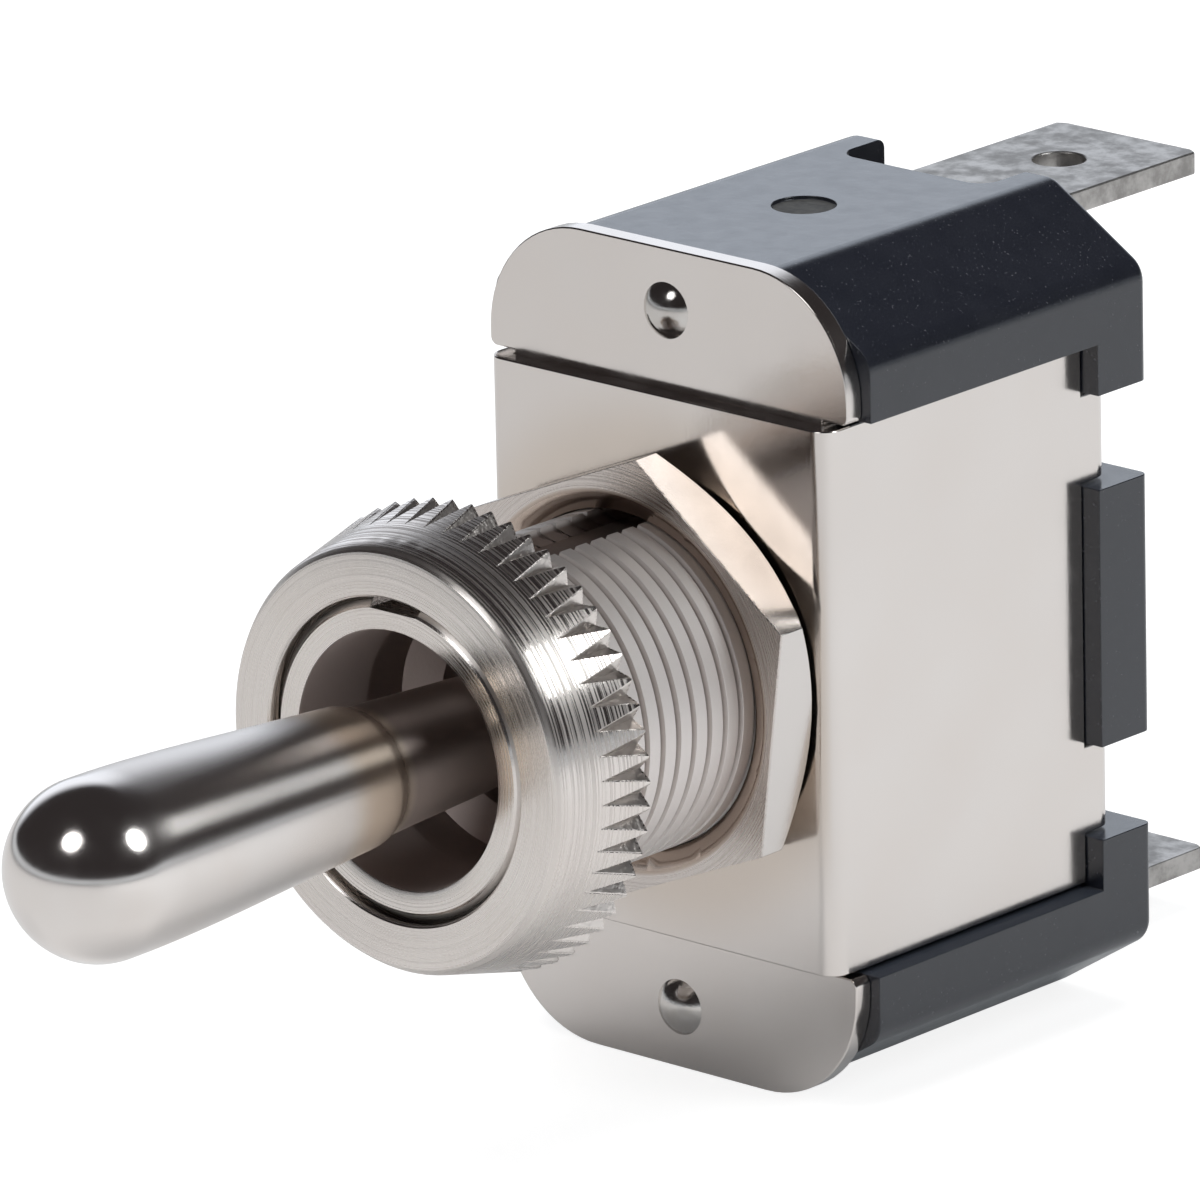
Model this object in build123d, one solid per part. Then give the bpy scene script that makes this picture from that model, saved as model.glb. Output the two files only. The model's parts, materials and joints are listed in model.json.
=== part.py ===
from build123d import *
from math import cos, radians, sin, sqrt
import os

# Panel toggle switch, in millimetres.
# The origin is on the bushing axis at the frame's front face. +X is right, +Y runs back to the
# terminals and +Z is up along the body, so the lever points along -Y and tilts about X.

# Bushing, threaded 15/32-32, with a keyway along its top. The thread is a row of plain rings.
thread_d = 11.9
thread_length = 13.3
thread_end_chamfer = 0.65
thread_pitch = 25.4 / 32
thread_groove_w = 0.42
thread_groove_depth = 0.35
mouth_bore_depth = 5.2
mouth_edge_chamfer = 0.15
ring_cone_length = 0.8
pin_bearing = 1.2
neck_wall = 0.6
staked_lip = 0.5
staked_rim_t = 0.5
keyway_w = 2.1
keyway_depth = 0.75

# Bat lever, from its tip back to the barrel that holds the plunger
bat_reach = 17.7
bat_tip_d = 6.3
bat_waist_d = 5.5
bat_waist_from_tip = 11.5
bat_shoulder_d = 5.0
bat_shoulder_from_tip = 15.2
shoulder_fall = 0.9
neck_front_d = 4.64
neck_rear_d = 3.86
neck_rear_inset = 5.0
pivot_depth = 4.8
ball_d = 5.9
barrel_d = 4.4
barrel_length = 6.0
barrel_bore_d = 3.0
barrel_web = 0.8
barrel_edge_chamfer = 0.15
lever_swing_deg = 12.0
pin_d = 1.6

# Plunger and its spring
plunger_tip_y = 6.0
plunger_room = 1.8
plunger_wall = 0.42
plunger_nose = 2.2
spring_wire_d = 0.28
spring_turns = 8

# Face nut, conical, with V-notches broached along its rear half
face_nut_front_d = 14.8
face_nut_rear_d = 16.5
face_nut_length = 3.7
face_nut_proud = 0.15
face_nut_mouth_d = 11.4
face_nut_mouth_lip = 0.25
face_nut_edge_r = 0.3
notch_count = 58
notch_depth = 0.45
notch_half_w = 0.41

# Back nut
hex_af = 14.14
hex_t = 2.05
hex_stand_off = 0.2
hex_turn_deg = 22.4
hex_countersink_d = 13.6
hex_countersink_depth = 0.4
hex_corner_chamfer = 0.95
nut_bore_chamfer = 0.25

# Frame, one strip folded to a U, with two tabs on the end of each side wall
frame_w = 15.5
frame_h = 19.4
frame_depth = 13.3
sheet_t = 0.7
bend_r = 0.05
tab_w = 3.13
tab_offset_z = 6.33
tab_lip = 2.5
tab_drop = 0.8

# Cover plate, with an ear above and below the frame
cover_t = 0.75
cover_overhang = 0.1
ear_overhang = 0.35
ear_gap = 0.15
ear_corner_r = 4.2
ear_root_r = 0.3

# Cover rivets
rivet_edge = 2.2
rivet_head_d = 2.0
rivet_head_h = 0.5
rivet_shank_d = 1.3
rivet_clinch_d = 1.9
rivet_clinch_h = 0.35

# Insulator
insulator_t = 0.4
case_rim = 0.7

# Housing
housing_h = 29.2
housing_depth = 14.55
rail_stand = 0.75
case_flat_w = 9.0
case_facet_h = 2.5
case_corner_r = 1.0
case_edge_r = 0.35
tab_pocket_depth = 3.7
terminal_pocket_side = 0.15
terminal_pocket_margin = 1.2
terminal_pocket_depth = 2.5
terminal_pocket_corner_r = 0.8
housing_floor_t = 2.2
cavity_side = 1.5
cavity_corner_r = 1.0
mould_mark_d = 2.26
mould_mark_y = 7.9
mould_mark_depth = 0.12
tail_depth = 0.5

# Terminals, 6.35 mm push-on blades bent from one strip with their inner feet
blade_w = 6.35
blade_t = 0.8
blade_edge = 1.8
blade_reach = 9.45
blade_corner_w = 0.7
blade_corner_length = 0.4
blade_bevel = 0.22
blade_hole_d = 1.9
blade_hole_from_tip = 4.0
foot_corner_r = 0.7
upper_foot_past_centre = 1.9
lower_foot_margin = 0.7

# Contact arm, its pin and its contacts
rocker_ratio = 1.25
rocker_pin_d = 1.2
rocker_w = 3.4
rocker_arm_t = 0.6
rocker_reach = 7.4
rocker_crest = 3.3
rocker_crest_half_h = 3.1
rocker_root_half_h = 3.6
rocker_heel = 0.9
rocker_heel_half_h = 1.6
contact_offset = 6.2
contact_d = 2.2
contact_h = 0.7
contact_dome_r = 2.5
contact_clinch_d = 1.8
contact_clinch_h = 0.2
fixed_contact_d = 2.6
fixed_contact_h = 0.6
contact_shank_d = 1.2
contact_gap = 0.03

# Bracket that carries the contact arm
bracket_t = 0.7
bracket_h = 3.2
bracket_ear_margin = 0.75
bracket_rivet_head_d = 2.0
bracket_rivet_head_h = 0.35
pin_end = 0.1

# Clearances
running_clear = 0.05
side_clear = 0.1
seat_clear = 0.03
frame_clear = 0.05
nut_clear = 0.05
ball_clear = 0.45
mouth_clear = 0.29
swing_clear = 0.3
tab_side_clear = 0.12

# Places along Y that follow from the sizes above
cut_past = 1.0
cover_front_y = sheet_t
cover_back_y = cover_front_y + cover_t
insulator_back_y = cover_back_y + insulator_t
housing_rear_y = cover_back_y + housing_depth
tab_pocket_floor_y = frame_depth + tab_drop
cavity_floor_y = tab_pocket_floor_y - housing_floor_t
terminal_pocket_floor_y = housing_rear_y - terminal_pocket_depth
foot_face_y = cavity_floor_y - blade_t
blade_tip_y = housing_rear_y + blade_reach
fixed_contact_y = foot_face_y - fixed_contact_h
bracket_face_y = foot_face_y - bracket_t
tail_end_y = cavity_floor_y + tail_depth
bushing_front_y = -thread_length
pivot_y = -pivot_depth
bat_tip_y = bushing_front_y - bat_reach
barrel_rear_y = pivot_y + barrel_length
barrel_bore_front_y = pivot_y + pin_d / 2 + barrel_web

# Bores that let the lever swing, and what is built round them
swing = radians(lever_swing_deg)
mouth_arm = thread_length - pivot_depth
mouth_bore_d = 2 * (mouth_arm * sin(swing) + bat_shoulder_d / 2 * cos(swing) + mouth_clear)
collar_bore_d = 2 * (barrel_length * sin(swing) + barrel_d / 2 * cos(swing) + swing_clear)
ring_bore_d = ball_d + 2 * ball_clear
seat_bore_d = ring_bore_d + 2 * pin_bearing
neck_d = seat_bore_d + 2 * neck_wall
staked_rim_d = neck_d + 2 * staked_lip
pin_groove_d = pin_d + 2 * running_clear
plunger_d = barrel_bore_d - 2 * running_clear
plunger_bore_d = plunger_d - 2 * plunger_wall
plunger_bore_end_y = plunger_tip_y - plunger_nose

# Widths and heights of the case
frame_inner_w = frame_w - 2 * sheet_t
ear_root_z = frame_h / 2 + ear_gap
ear_w = frame_w + 2 * ear_overhang
cover_h = housing_h + 2 * cover_overhang
rivet_z = cover_h / 2 - rivet_edge
housing_w = frame_w + 2 * rail_stand
core_w = frame_inner_w - 2 * frame_clear
blade_z = housing_h / 2 - blade_edge
blade_outer_z = blade_z + blade_t / 2
cavity_h = 2 * (blade_outer_z + side_clear)
cavity_w = blade_w + 2 * cavity_side

# The closed contact arm sets where its pivot and the fixed contact lie
tilt = rocker_ratio * swing
dome_centre = rocker_arm_t / 2 + contact_h - contact_dome_r
dome_closed_y = dome_centre * cos(tilt) + contact_offset * sin(tilt)
rocker_y = fixed_contact_y - contact_gap - contact_dome_r - dome_closed_y
fixed_contact_z = dome_centre * sin(tilt) - contact_offset * cos(tilt)

# The plunger's tip, seen from the arm, rises as the arm tilts; the trough clears it at rest and
# at the end of the swing by the running clearance.
tip_r = plunger_d / 2
tip_arm = plunger_tip_y - tip_r - pivot_y
tip_rest = pivot_y + tip_arm - rocker_y
tip_end_y = pivot_y + tip_arm * cos(swing) - rocker_y
tip_end_z = -tip_arm * sin(swing)
tip_rise = tip_rest - (tip_end_y * cos(tilt) + tip_end_z * sin(tilt))
tip_shift = tip_end_z * cos(tilt) - tip_end_y * sin(tilt)
trough_offset = (tip_rise**2 + tip_shift**2) / (2 * tip_rise)
trough_r = trough_offset + tip_r + running_clear


def turned(*points):
    """Turn a closed outline, given as (radius, y), about the bushing axis."""
    return revolve(make_face(Polyline(*points, close=True)), Axis.Y)


def slab(outline, front_y, back_y):
    """Make an outline drawn in X and Z solid between two places along Y."""
    plane = Plane(origin=(0, back_y, 0), x_dir=(1, 0, 0), z_dir=(0, -1, 0))
    return extrude(plane * outline, back_y - front_y)


def disc(diameter, front_y, back_y, z=0.0):
    return slab(Pos(0, z) * Circle(diameter / 2), front_y, back_y)


def cross_bar(diameter, length, y):
    """A round bar along X."""
    return Pos(0, y, 0) * Rot(0, 90, 0) * Cylinder(diameter / 2, length)


def block(x_span, y_span, z_span):
    sizes = [span[1] - span[0] for span in (x_span, y_span, z_span)]
    middle = [sum(span) / 2 for span in (x_span, y_span, z_span)]
    return Pos(*middle) * Box(*sizes)


def left_and_right(shape):
    return shape + mirror(shape, about=Plane.YZ)


def both_ends(shape):
    return shape + mirror(shape, about=Plane.XY)


def corner(outline, x, y):
    return outline.vertices().sort_by_distance((x, y, 0))[0]


def make_bushing():
    thread_r = thread_d / 2
    mouth_r = mouth_bore_d / 2
    ring_front_y = bushing_front_y + mouth_bore_depth + ring_cone_length
    rim_rear_y = cover_front_y + staked_rim_t
    grooves = []
    for turn in range(int((thread_length - thread_end_chamfer) / thread_pitch), 0, -1):
        grooves += [
            (thread_r, -turn * thread_pitch - thread_groove_w / 2),
            (thread_r - thread_groove_depth, -turn * thread_pitch),
            (thread_r, -turn * thread_pitch + thread_groove_w / 2),
        ]
    body = turned(
        (0, bushing_front_y),
        (thread_r - thread_end_chamfer, bushing_front_y),
        (thread_r, bushing_front_y + thread_end_chamfer),
        *grooves,
        (thread_r, 0),
        (neck_d / 2, 0),
        (neck_d / 2, cover_front_y),
        (staked_rim_d / 2, cover_front_y),
        (neck_d / 2, rim_rear_y),
        (0, rim_rear_y),
    )
    body -= turned(
        (0, bushing_front_y - cut_past),
        (mouth_r + mouth_edge_chamfer + cut_past, bushing_front_y - cut_past),
        (mouth_r, bushing_front_y + mouth_edge_chamfer),
        (mouth_r, bushing_front_y + mouth_bore_depth),
        (ring_bore_d / 2, ring_front_y),
        (ring_bore_d / 2, pivot_y),
        (seat_bore_d / 2, pivot_y),
        (seat_bore_d / 2, rim_rear_y + cut_past),
        (0, rim_rear_y + cut_past),
    )
    body -= block(
        (-keyway_w / 2, keyway_w / 2),
        (bushing_front_y - cut_past, 0),
        (thread_r - keyway_depth, thread_r + cut_past),
    )
    return body - cross_bar(pin_groove_d, seat_bore_d, pivot_y)


def make_bat_lever():
    tip_radius = bat_tip_d / 2
    tip_centre_y = bat_tip_y + tip_radius
    waist_y = bat_tip_y + bat_waist_from_tip
    shoulder_y = bat_tip_y + bat_shoulder_from_tip
    neck_front_y = shoulder_y + shoulder_fall
    neck_rear_y = bushing_front_y + neck_rear_inset
    slope = (bat_shoulder_d - bat_waist_d) / 2 / (shoulder_y - waist_y)
    nose = CenterArc((0, tip_centre_y), tip_radius, -90, 90)
    bat = Spline(
        (tip_radius, tip_centre_y),
        (bat_waist_d / 2, waist_y),
        (bat_shoulder_d / 2, shoulder_y),
        tangents=[(0, 1), (slope, 1)],
    )
    neck = Polyline(
        (bat_shoulder_d / 2, shoulder_y),
        (neck_front_d / 2, neck_front_y),
        (neck_rear_d / 2, neck_rear_y),
        (neck_rear_d / 2, pivot_y),
        (0, pivot_y),
        (0, bat_tip_y),
    )
    lever = revolve(make_face(nose + bat + neck), Axis.Y)
    lever += Pos(0, pivot_y, 0) * Sphere(ball_d / 2)
    barrel_r = barrel_d / 2
    lever += turned(
        (0, pivot_y),
        (barrel_r, pivot_y),
        (barrel_r, barrel_rear_y - barrel_edge_chamfer),
        (barrel_r - barrel_edge_chamfer, barrel_rear_y),
        (0, barrel_rear_y),
    )
    lever -= disc(barrel_bore_d, barrel_bore_front_y, barrel_rear_y + cut_past)
    return lever - cross_bar(pin_d, ball_d + cut_past, pivot_y)


def make_lever_pin():
    return cross_bar(pin_d, seat_bore_d - 2 * side_clear, pivot_y)


def make_pin_retainer():
    collar = disc(seat_bore_d - 2 * seat_clear, pivot_y + running_clear, cover_back_y)
    collar -= disc(collar_bore_d, pivot_y - cut_past, cover_back_y + cut_past)
    return collar - cross_bar(pin_groove_d, seat_bore_d + cut_past, pivot_y)


def make_plunger():
    front_y = barrel_bore_front_y + plunger_room
    body = disc(plunger_d, front_y, plunger_tip_y - tip_r)
    body += Pos(0, plunger_tip_y - tip_r, 0) * Sphere(tip_r)
    return body - disc(plunger_bore_d, front_y - cut_past, plunger_bore_end_y)


def make_plunger_spring():
    length = plunger_bore_end_y - barrel_bore_front_y - spring_wire_d
    coil_r = plunger_bore_d / 2 - running_clear - spring_wire_d / 2
    path = Helix(
        pitch=length / spring_turns,
        height=length,
        radius=coil_r,
        center=(0, barrel_bore_front_y + spring_wire_d / 2, 0),
        direction=(0, 1, 0),
    )
    wire = Plane(origin=path @ 0, z_dir=path % 0) * Circle(spring_wire_d / 2)
    return sweep(wire, path=path, is_frenet=True)


def make_knurled_nut():
    front_y = bushing_front_y - face_nut_proud
    rear_y = front_y + face_nut_length
    bore_r = thread_d / 2 + nut_clear
    mouth_r = face_nut_mouth_d / 2
    front_r = face_nut_front_d / 2
    rear_r = face_nut_rear_d / 2
    lip_y = front_y + face_nut_mouth_lip
    section = make_face(
        Polyline(
            (mouth_r, front_y),
            (front_r, front_y),
            (rear_r, rear_y),
            (bore_r + nut_bore_chamfer, rear_y),
            (bore_r, rear_y - nut_bore_chamfer),
            (bore_r, lip_y + bore_r - mouth_r),
            (mouth_r, lip_y),
            close=True,
        )
    )
    nut = revolve(fillet(corner(section, front_r, front_y), face_nut_edge_r), Axis.Y)
    root_r = rear_r - notch_depth
    spread = notch_half_w / notch_depth
    notch_top = rear_r + cut_past
    half_w = spread * (notch_top - root_r)
    notch = make_face(Polyline((root_r, 0), (notch_top, half_w), (notch_top, -half_w), close=True))
    cutters = [
        slab(Rot(0, 0, 360 / notch_count * (turn + 0.5)) * notch, front_y, rear_y + cut_past)
        for turn in range(notch_count)
    ]
    return nut.cut(*[cutter.solid() for cutter in cutters])


def make_hex_nut():
    front_y = -hex_stand_off - hex_t
    rear_y = -hex_stand_off
    bore_r = thread_d / 2 + nut_clear
    flat_r = hex_af / 2
    corner_r = hex_af / sqrt(3)
    hexagon = Rot(0, 0, hex_turn_deg) * RegularPolygon(corner_r, 6)
    nut = slab(hexagon, front_y, rear_y)
    nut &= turned(
        (0, front_y),
        (corner_r, front_y),
        (corner_r, rear_y - hex_corner_chamfer),
        (flat_r, rear_y),
        (0, rear_y),
    )
    return nut - turned(
        (0, front_y - cut_past),
        (hex_countersink_d / 2, front_y - cut_past),
        (hex_countersink_d / 2, front_y),
        (bore_r, front_y + hex_countersink_depth),
        (bore_r, rear_y - nut_bore_chamfer),
        (bore_r + nut_bore_chamfer + cut_past, rear_y + cut_past),
        (0, rear_y + cut_past),
    )


def make_frame():
    fold_r = bend_r + sheet_t
    outside = Pos(0, frame_depth / 2) * Rectangle(frame_w, frame_depth)
    outside = fillet(outside.vertices().group_by(Axis.Y)[0], fold_r)
    inside = Pos(0, sheet_t + frame_depth / 2) * Rectangle(frame_inner_w, frame_depth)
    inside = fillet(inside.vertices().group_by(Axis.Y)[0], bend_r)
    frame = extrude(outside - inside, frame_h / 2, both=True)
    frame -= disc(neck_d + 2 * seat_clear, -cut_past, cover_back_y)
    lip_front_y = tab_pocket_floor_y + frame_clear
    lip_back_y = lip_front_y + sheet_t
    outer_x = frame_w / 2
    inner_x = frame_inner_w / 2
    start_y = frame_depth - fold_r
    tab = make_face(
        Polyline(
            (inner_x, start_y),
            (outer_x, start_y),
            (outer_x, lip_back_y),
            (outer_x - tab_lip, lip_back_y),
            (outer_x - tab_lip, lip_front_y),
            (inner_x, lip_front_y),
            close=True,
        )
    )
    tab = fillet(corner(tab, outer_x, lip_back_y), fold_r)
    tab = fillet(corner(tab, inner_x, lip_front_y), bend_r)
    tab = Pos(0, 0, tab_offset_z) * extrude(tab, tab_w / 2, both=True)
    return frame + both_ends(left_and_right(tab))


def make_cover_plate():
    ears = RectangleRounded(ear_w, cover_h, ear_corner_r)
    ears -= Rectangle(ear_w + cut_past, 2 * ear_root_z)
    levels = ears.vertices().group_by(Axis.Y)
    upper_root = len(levels) // 2
    ears = fillet(levels[upper_root - 1] + levels[upper_root], ear_root_r)
    middle = Rectangle(frame_inner_w - 2 * bend_r, 2 * (ear_root_z + ear_root_r))
    plate = slab(ears + middle, cover_front_y, cover_back_y)
    plate -= disc(staked_rim_d + 2 * side_clear, 0, cover_back_y + cut_past)
    return plate - both_ends(disc(rivet_shank_d, 0, cover_back_y + cut_past, rivet_z))


def make_cover_rivets():
    head_r = rivet_head_d / 2
    dome_r = (head_r**2 + rivet_head_h**2) / (2 * rivet_head_h)
    dome = Pos(0, cover_front_y - rivet_head_h + dome_r, rivet_z) * Sphere(dome_r)
    rivet = disc(rivet_head_d, cover_front_y - rivet_head_h, cover_front_y, rivet_z) & dome
    rivet += disc(rivet_shank_d, cover_front_y, insulator_back_y, rivet_z)
    rivet += disc(rivet_clinch_d, insulator_back_y, insulator_back_y + rivet_clinch_h, rivet_z)
    return both_ends(rivet)


def case_outline(width, height, flat_w, facet_h):
    """The case seen from the front: flat ends, slanted facets and straight sides."""
    x = width / 2
    z = height / 2
    flat_x = flat_w / 2
    facet_z = z - facet_h
    outline = make_face(
        Polyline(
            (flat_x, z), (x, facet_z), (x, -facet_z), (flat_x, -z),
            (-flat_x, -z), (-x, -facet_z), (-x, facet_z), (-flat_x, z),
            close=True,
        )
    )
    return fillet(outline.vertices(), case_corner_r)


def insulator_outline(gap):
    """The sheet's outline, parallel to the case's and inside its rim, less a gap."""
    inset = case_rim + gap
    slope = case_facet_h / ((housing_w - case_flat_w) / 2)
    facet_line = slope * case_flat_w / 2 + housing_h / 2 - inset * sqrt(1 + slope**2)
    x = core_w / 2 - inset
    z = housing_h / 2 - inset
    return case_outline(2 * x, 2 * z, 2 * (facet_line - z) / slope, z - facet_line + slope * x)


def make_insulator():
    sheet = slab(insulator_outline(side_clear), cover_back_y, insulator_back_y)
    reach = insulator_back_y - pivot_y
    half_h = reach * sin(swing) + plunger_d / 2 * cos(swing) + swing_clear
    half_w = plunger_d / 2 + swing_clear
    slot = slab(SlotOverall(2 * half_h, 2 * half_w, rotation=90), 0, insulator_back_y + cut_past)
    return sheet - slot - both_ends(disc(rivet_shank_d, 0, insulator_back_y + cut_past, rivet_z))


def make_housing():
    outline = case_outline(housing_w, housing_h, case_flat_w, case_facet_h)
    case = slab(outline, cover_back_y, housing_rear_y)
    case = fillet(case.faces().sort_by(Axis.Y)[-1].edges(), case_edge_r)
    side_x = housing_w / 2 + cut_past
    past_rear_y = housing_rear_y + cut_past
    wall_room = block(
        (core_w / 2, side_x), (0, frame_depth + frame_clear), (-ear_root_z, ear_root_z)
    )
    pocket_z = (tab_offset_z - tab_w / 2 - tab_side_clear, tab_offset_z + tab_w / 2 + tab_side_clear)
    pocket_x = housing_w / 2 - tab_pocket_depth
    pocket = block((pocket_x, side_x), (tab_pocket_floor_y, past_rear_y), pocket_z)
    pocket += block((core_w / 2, side_x), (frame_depth, past_rear_y), pocket_z)
    case -= left_and_right(wall_room)
    case -= both_ends(left_and_right(pocket))
    case -= slab(insulator_outline(0), 0, insulator_back_y)
    cavity = RectangleRounded(cavity_w, cavity_h, cavity_corner_r)
    case -= slab(cavity, cover_back_y, cavity_floor_y)
    clinch_room_y = insulator_back_y + rivet_clinch_h + side_clear
    case -= both_ends(disc(rivet_clinch_d + 2 * side_clear, 0, clinch_room_y, rivet_z))
    recess_x = blade_w / 2 + terminal_pocket_side
    recess_z = blade_z - blade_t / 2 - terminal_pocket_margin
    recess_length = past_rear_y - terminal_pocket_floor_y
    recess = Rectangle(2 * recess_x, recess_length, align=(Align.CENTER, Align.MIN))
    recess = fillet(recess.vertices().group_by(Axis.Y)[0], terminal_pocket_corner_r)
    recess = Pos(0, terminal_pocket_floor_y) * recess
    case -= both_ends(Pos(0, 0, recess_z) * extrude(recess, housing_h / 2 + cut_past - recess_z))
    slot_x = blade_w / 2 + running_clear
    slot_z = blade_t / 2 + running_clear
    case -= both_ends(
        block((-slot_x, slot_x), (foot_face_y, past_rear_y), (blade_z - slot_z, blade_z + slot_z))
    )
    tail_d = contact_shank_d + 2 * running_clear
    for z in (0, fixed_contact_z):
        case -= disc(tail_d, foot_face_y, tail_end_y + side_clear, z)
    mark = Pos(0, mould_mark_y, housing_h / 2) * Cylinder(mould_mark_d / 2, 2 * mould_mark_depth)
    return case - both_ends(mark)


def make_terminal(foot_end_z, tail_z):
    """A blade and its foot, drawn for the upper end: the foot runs down to foot_end_z."""
    inner_z = blade_outer_z - blade_t
    strip = make_face(
        Polyline(
            (foot_face_y, foot_end_z),
            (foot_face_y, blade_outer_z),
            (blade_tip_y, blade_outer_z),
            (blade_tip_y, inner_z),
            (cavity_floor_y, inner_z),
            (cavity_floor_y, foot_end_z),
            close=True,
        )
    )
    strip = fillet(corner(strip, foot_face_y, blade_outer_z), foot_corner_r)
    strip = extrude(Plane.YZ * strip, blade_w / 2, both=True)
    x = blade_w / 2
    outline = make_face(
        Polyline(
            (-x, foot_face_y),
            (x, foot_face_y),
            (x, blade_tip_y - blade_corner_length),
            (x - blade_corner_w, blade_tip_y),
            (blade_corner_w - x, blade_tip_y),
            (-x, blade_tip_y - blade_corner_length),
            close=True,
        )
    )
    strip &= extrude(outline, 2 * blade_outer_z, both=True)
    tip_edges = strip.faces().sort_by(Axis.Y)[-1].edges().filter_by(Axis.X)
    strip = chamfer(tip_edges, blade_bevel)
    hole_y = blade_tip_y - blade_hole_from_tip
    strip -= Pos(0, hole_y, blade_z) * Cylinder(blade_hole_d / 2, blade_t + cut_past)
    return strip - disc(contact_shank_d, foot_face_y - cut_past, cavity_floor_y + cut_past, tail_z)


def make_fulcrum_bracket():
    ear_inner_x = rocker_w / 2 + side_clear
    ear_outer_x = ear_inner_x + bracket_t
    ear_r = rocker_pin_d / 2 + bracket_ear_margin
    bracket = block(
        (-ear_outer_x, ear_outer_x),
        (bracket_face_y, foot_face_y),
        (-bracket_h / 2, bracket_h / 2),
    )
    ear = block((ear_inner_x, ear_outer_x), (rocker_y, foot_face_y), (-ear_r, ear_r))
    ear += Pos((ear_inner_x + ear_outer_x) / 2) * cross_bar(2 * ear_r, bracket_t, rocker_y)
    bracket += left_and_right(ear)
    bracket -= cross_bar(rocker_pin_d, 2 * ear_outer_x + cut_past, rocker_y)
    return bracket - disc(contact_shank_d, bracket_face_y - cut_past, cavity_floor_y)


def make_bracket_rivet():
    head = disc(bracket_rivet_head_d, bracket_face_y - bracket_rivet_head_h, bracket_face_y)
    return head + disc(contact_shank_d, bracket_face_y, tail_end_y)


def make_rocker_pin():
    length = rocker_w + 2 * (side_clear + bracket_t + pin_end)
    return cross_bar(rocker_pin_d, length, rocker_y)


def make_rocker():
    arm = rocker_arm_t / 2
    upper = [
        (rocker_heel, rocker_heel_half_h),
        (arm, rocker_crest_half_h),
        (arm, rocker_reach),
        (-arm, rocker_reach),
        (-arm, rocker_root_half_h),
        (-rocker_crest, rocker_crest_half_h),
    ]
    lower = [(y, -z) for y, z in reversed(upper)]
    outline = make_face(Polyline(*upper, *lower, close=True))
    rocker = Pos(0, rocker_y, 0) * extrude(Plane.YZ * outline, rocker_w / 2, both=True)
    trough_y = rocker_y + tip_rest - trough_offset
    rocker -= cross_bar(2 * trough_r, rocker_w + cut_past, trough_y)
    rocker -= cross_bar(rocker_pin_d + 2 * running_clear, rocker_w + cut_past, rocker_y)
    return rocker - disc(contact_shank_d, rocker_y - arm - cut_past, rocker_y + arm, -contact_offset)


def make_moving_contact():
    arm = rocker_arm_t / 2
    face_y = rocker_y + arm
    dome = Pos(0, rocker_y + dome_centre, -contact_offset) * Sphere(contact_dome_r)
    button = disc(contact_d, face_y, face_y + contact_h, -contact_offset) & dome
    button += disc(contact_shank_d, rocker_y - arm, face_y, -contact_offset)
    clinch_front_y = rocker_y - arm - contact_clinch_h
    return button + disc(contact_clinch_d, clinch_front_y, rocker_y - arm, -contact_offset)


def make_fixed_contact():
    button = disc(fixed_contact_d, fixed_contact_y, foot_face_y, fixed_contact_z)
    return button + disc(contact_shank_d, foot_face_y, tail_end_y, fixed_contact_z)


lower_foot_end = -fixed_contact_z - fixed_contact_d / 2 - lower_foot_margin

nodes = {
    "bushing": make_bushing(),
    "bat_lever": make_bat_lever(),
    "lever_pin": make_lever_pin(),
    "pin_retainer": make_pin_retainer(),
    "plunger": make_plunger(),
    "plunger_spring": make_plunger_spring(),
    "knurled_nut": make_knurled_nut(),
    "hex_nut": make_hex_nut(),
    "frame": make_frame(),
    "cover_plate": make_cover_plate(),
    "cover_rivets": make_cover_rivets(),
    "insulator": make_insulator(),
    "housing": make_housing(),
    "terminal_upper": make_terminal(-upper_foot_past_centre, 0),
    "terminal_lower": mirror(make_terminal(lower_foot_end, -fixed_contact_z), about=Plane.XY),
    "fulcrum_bracket": make_fulcrum_bracket(),
    "bracket_rivet": make_bracket_rivet(),
    "rocker": make_rocker(),
    "rocker_pin": make_rocker_pin(),
    "moving_contact": make_moving_contact(),
    "fixed_contact": make_fixed_contact(),
}

os.makedirs("parts", exist_ok=True)
for name, shape in nodes.items():
    export_step(shape, f"parts/{name}.step")

print(f"lever pivot y {pivot_y:.3f}, contact arm pivot y {rocker_y:.3f}")
print(f"fixed contact z {fixed_contact_z:.3f}, trough radius {trough_r:.3f}")
print(f"mouth bore {mouth_bore_d:.3f}, collar bore {collar_bore_d:.3f}, seat bore {seat_bore_d:.3f}")
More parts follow.
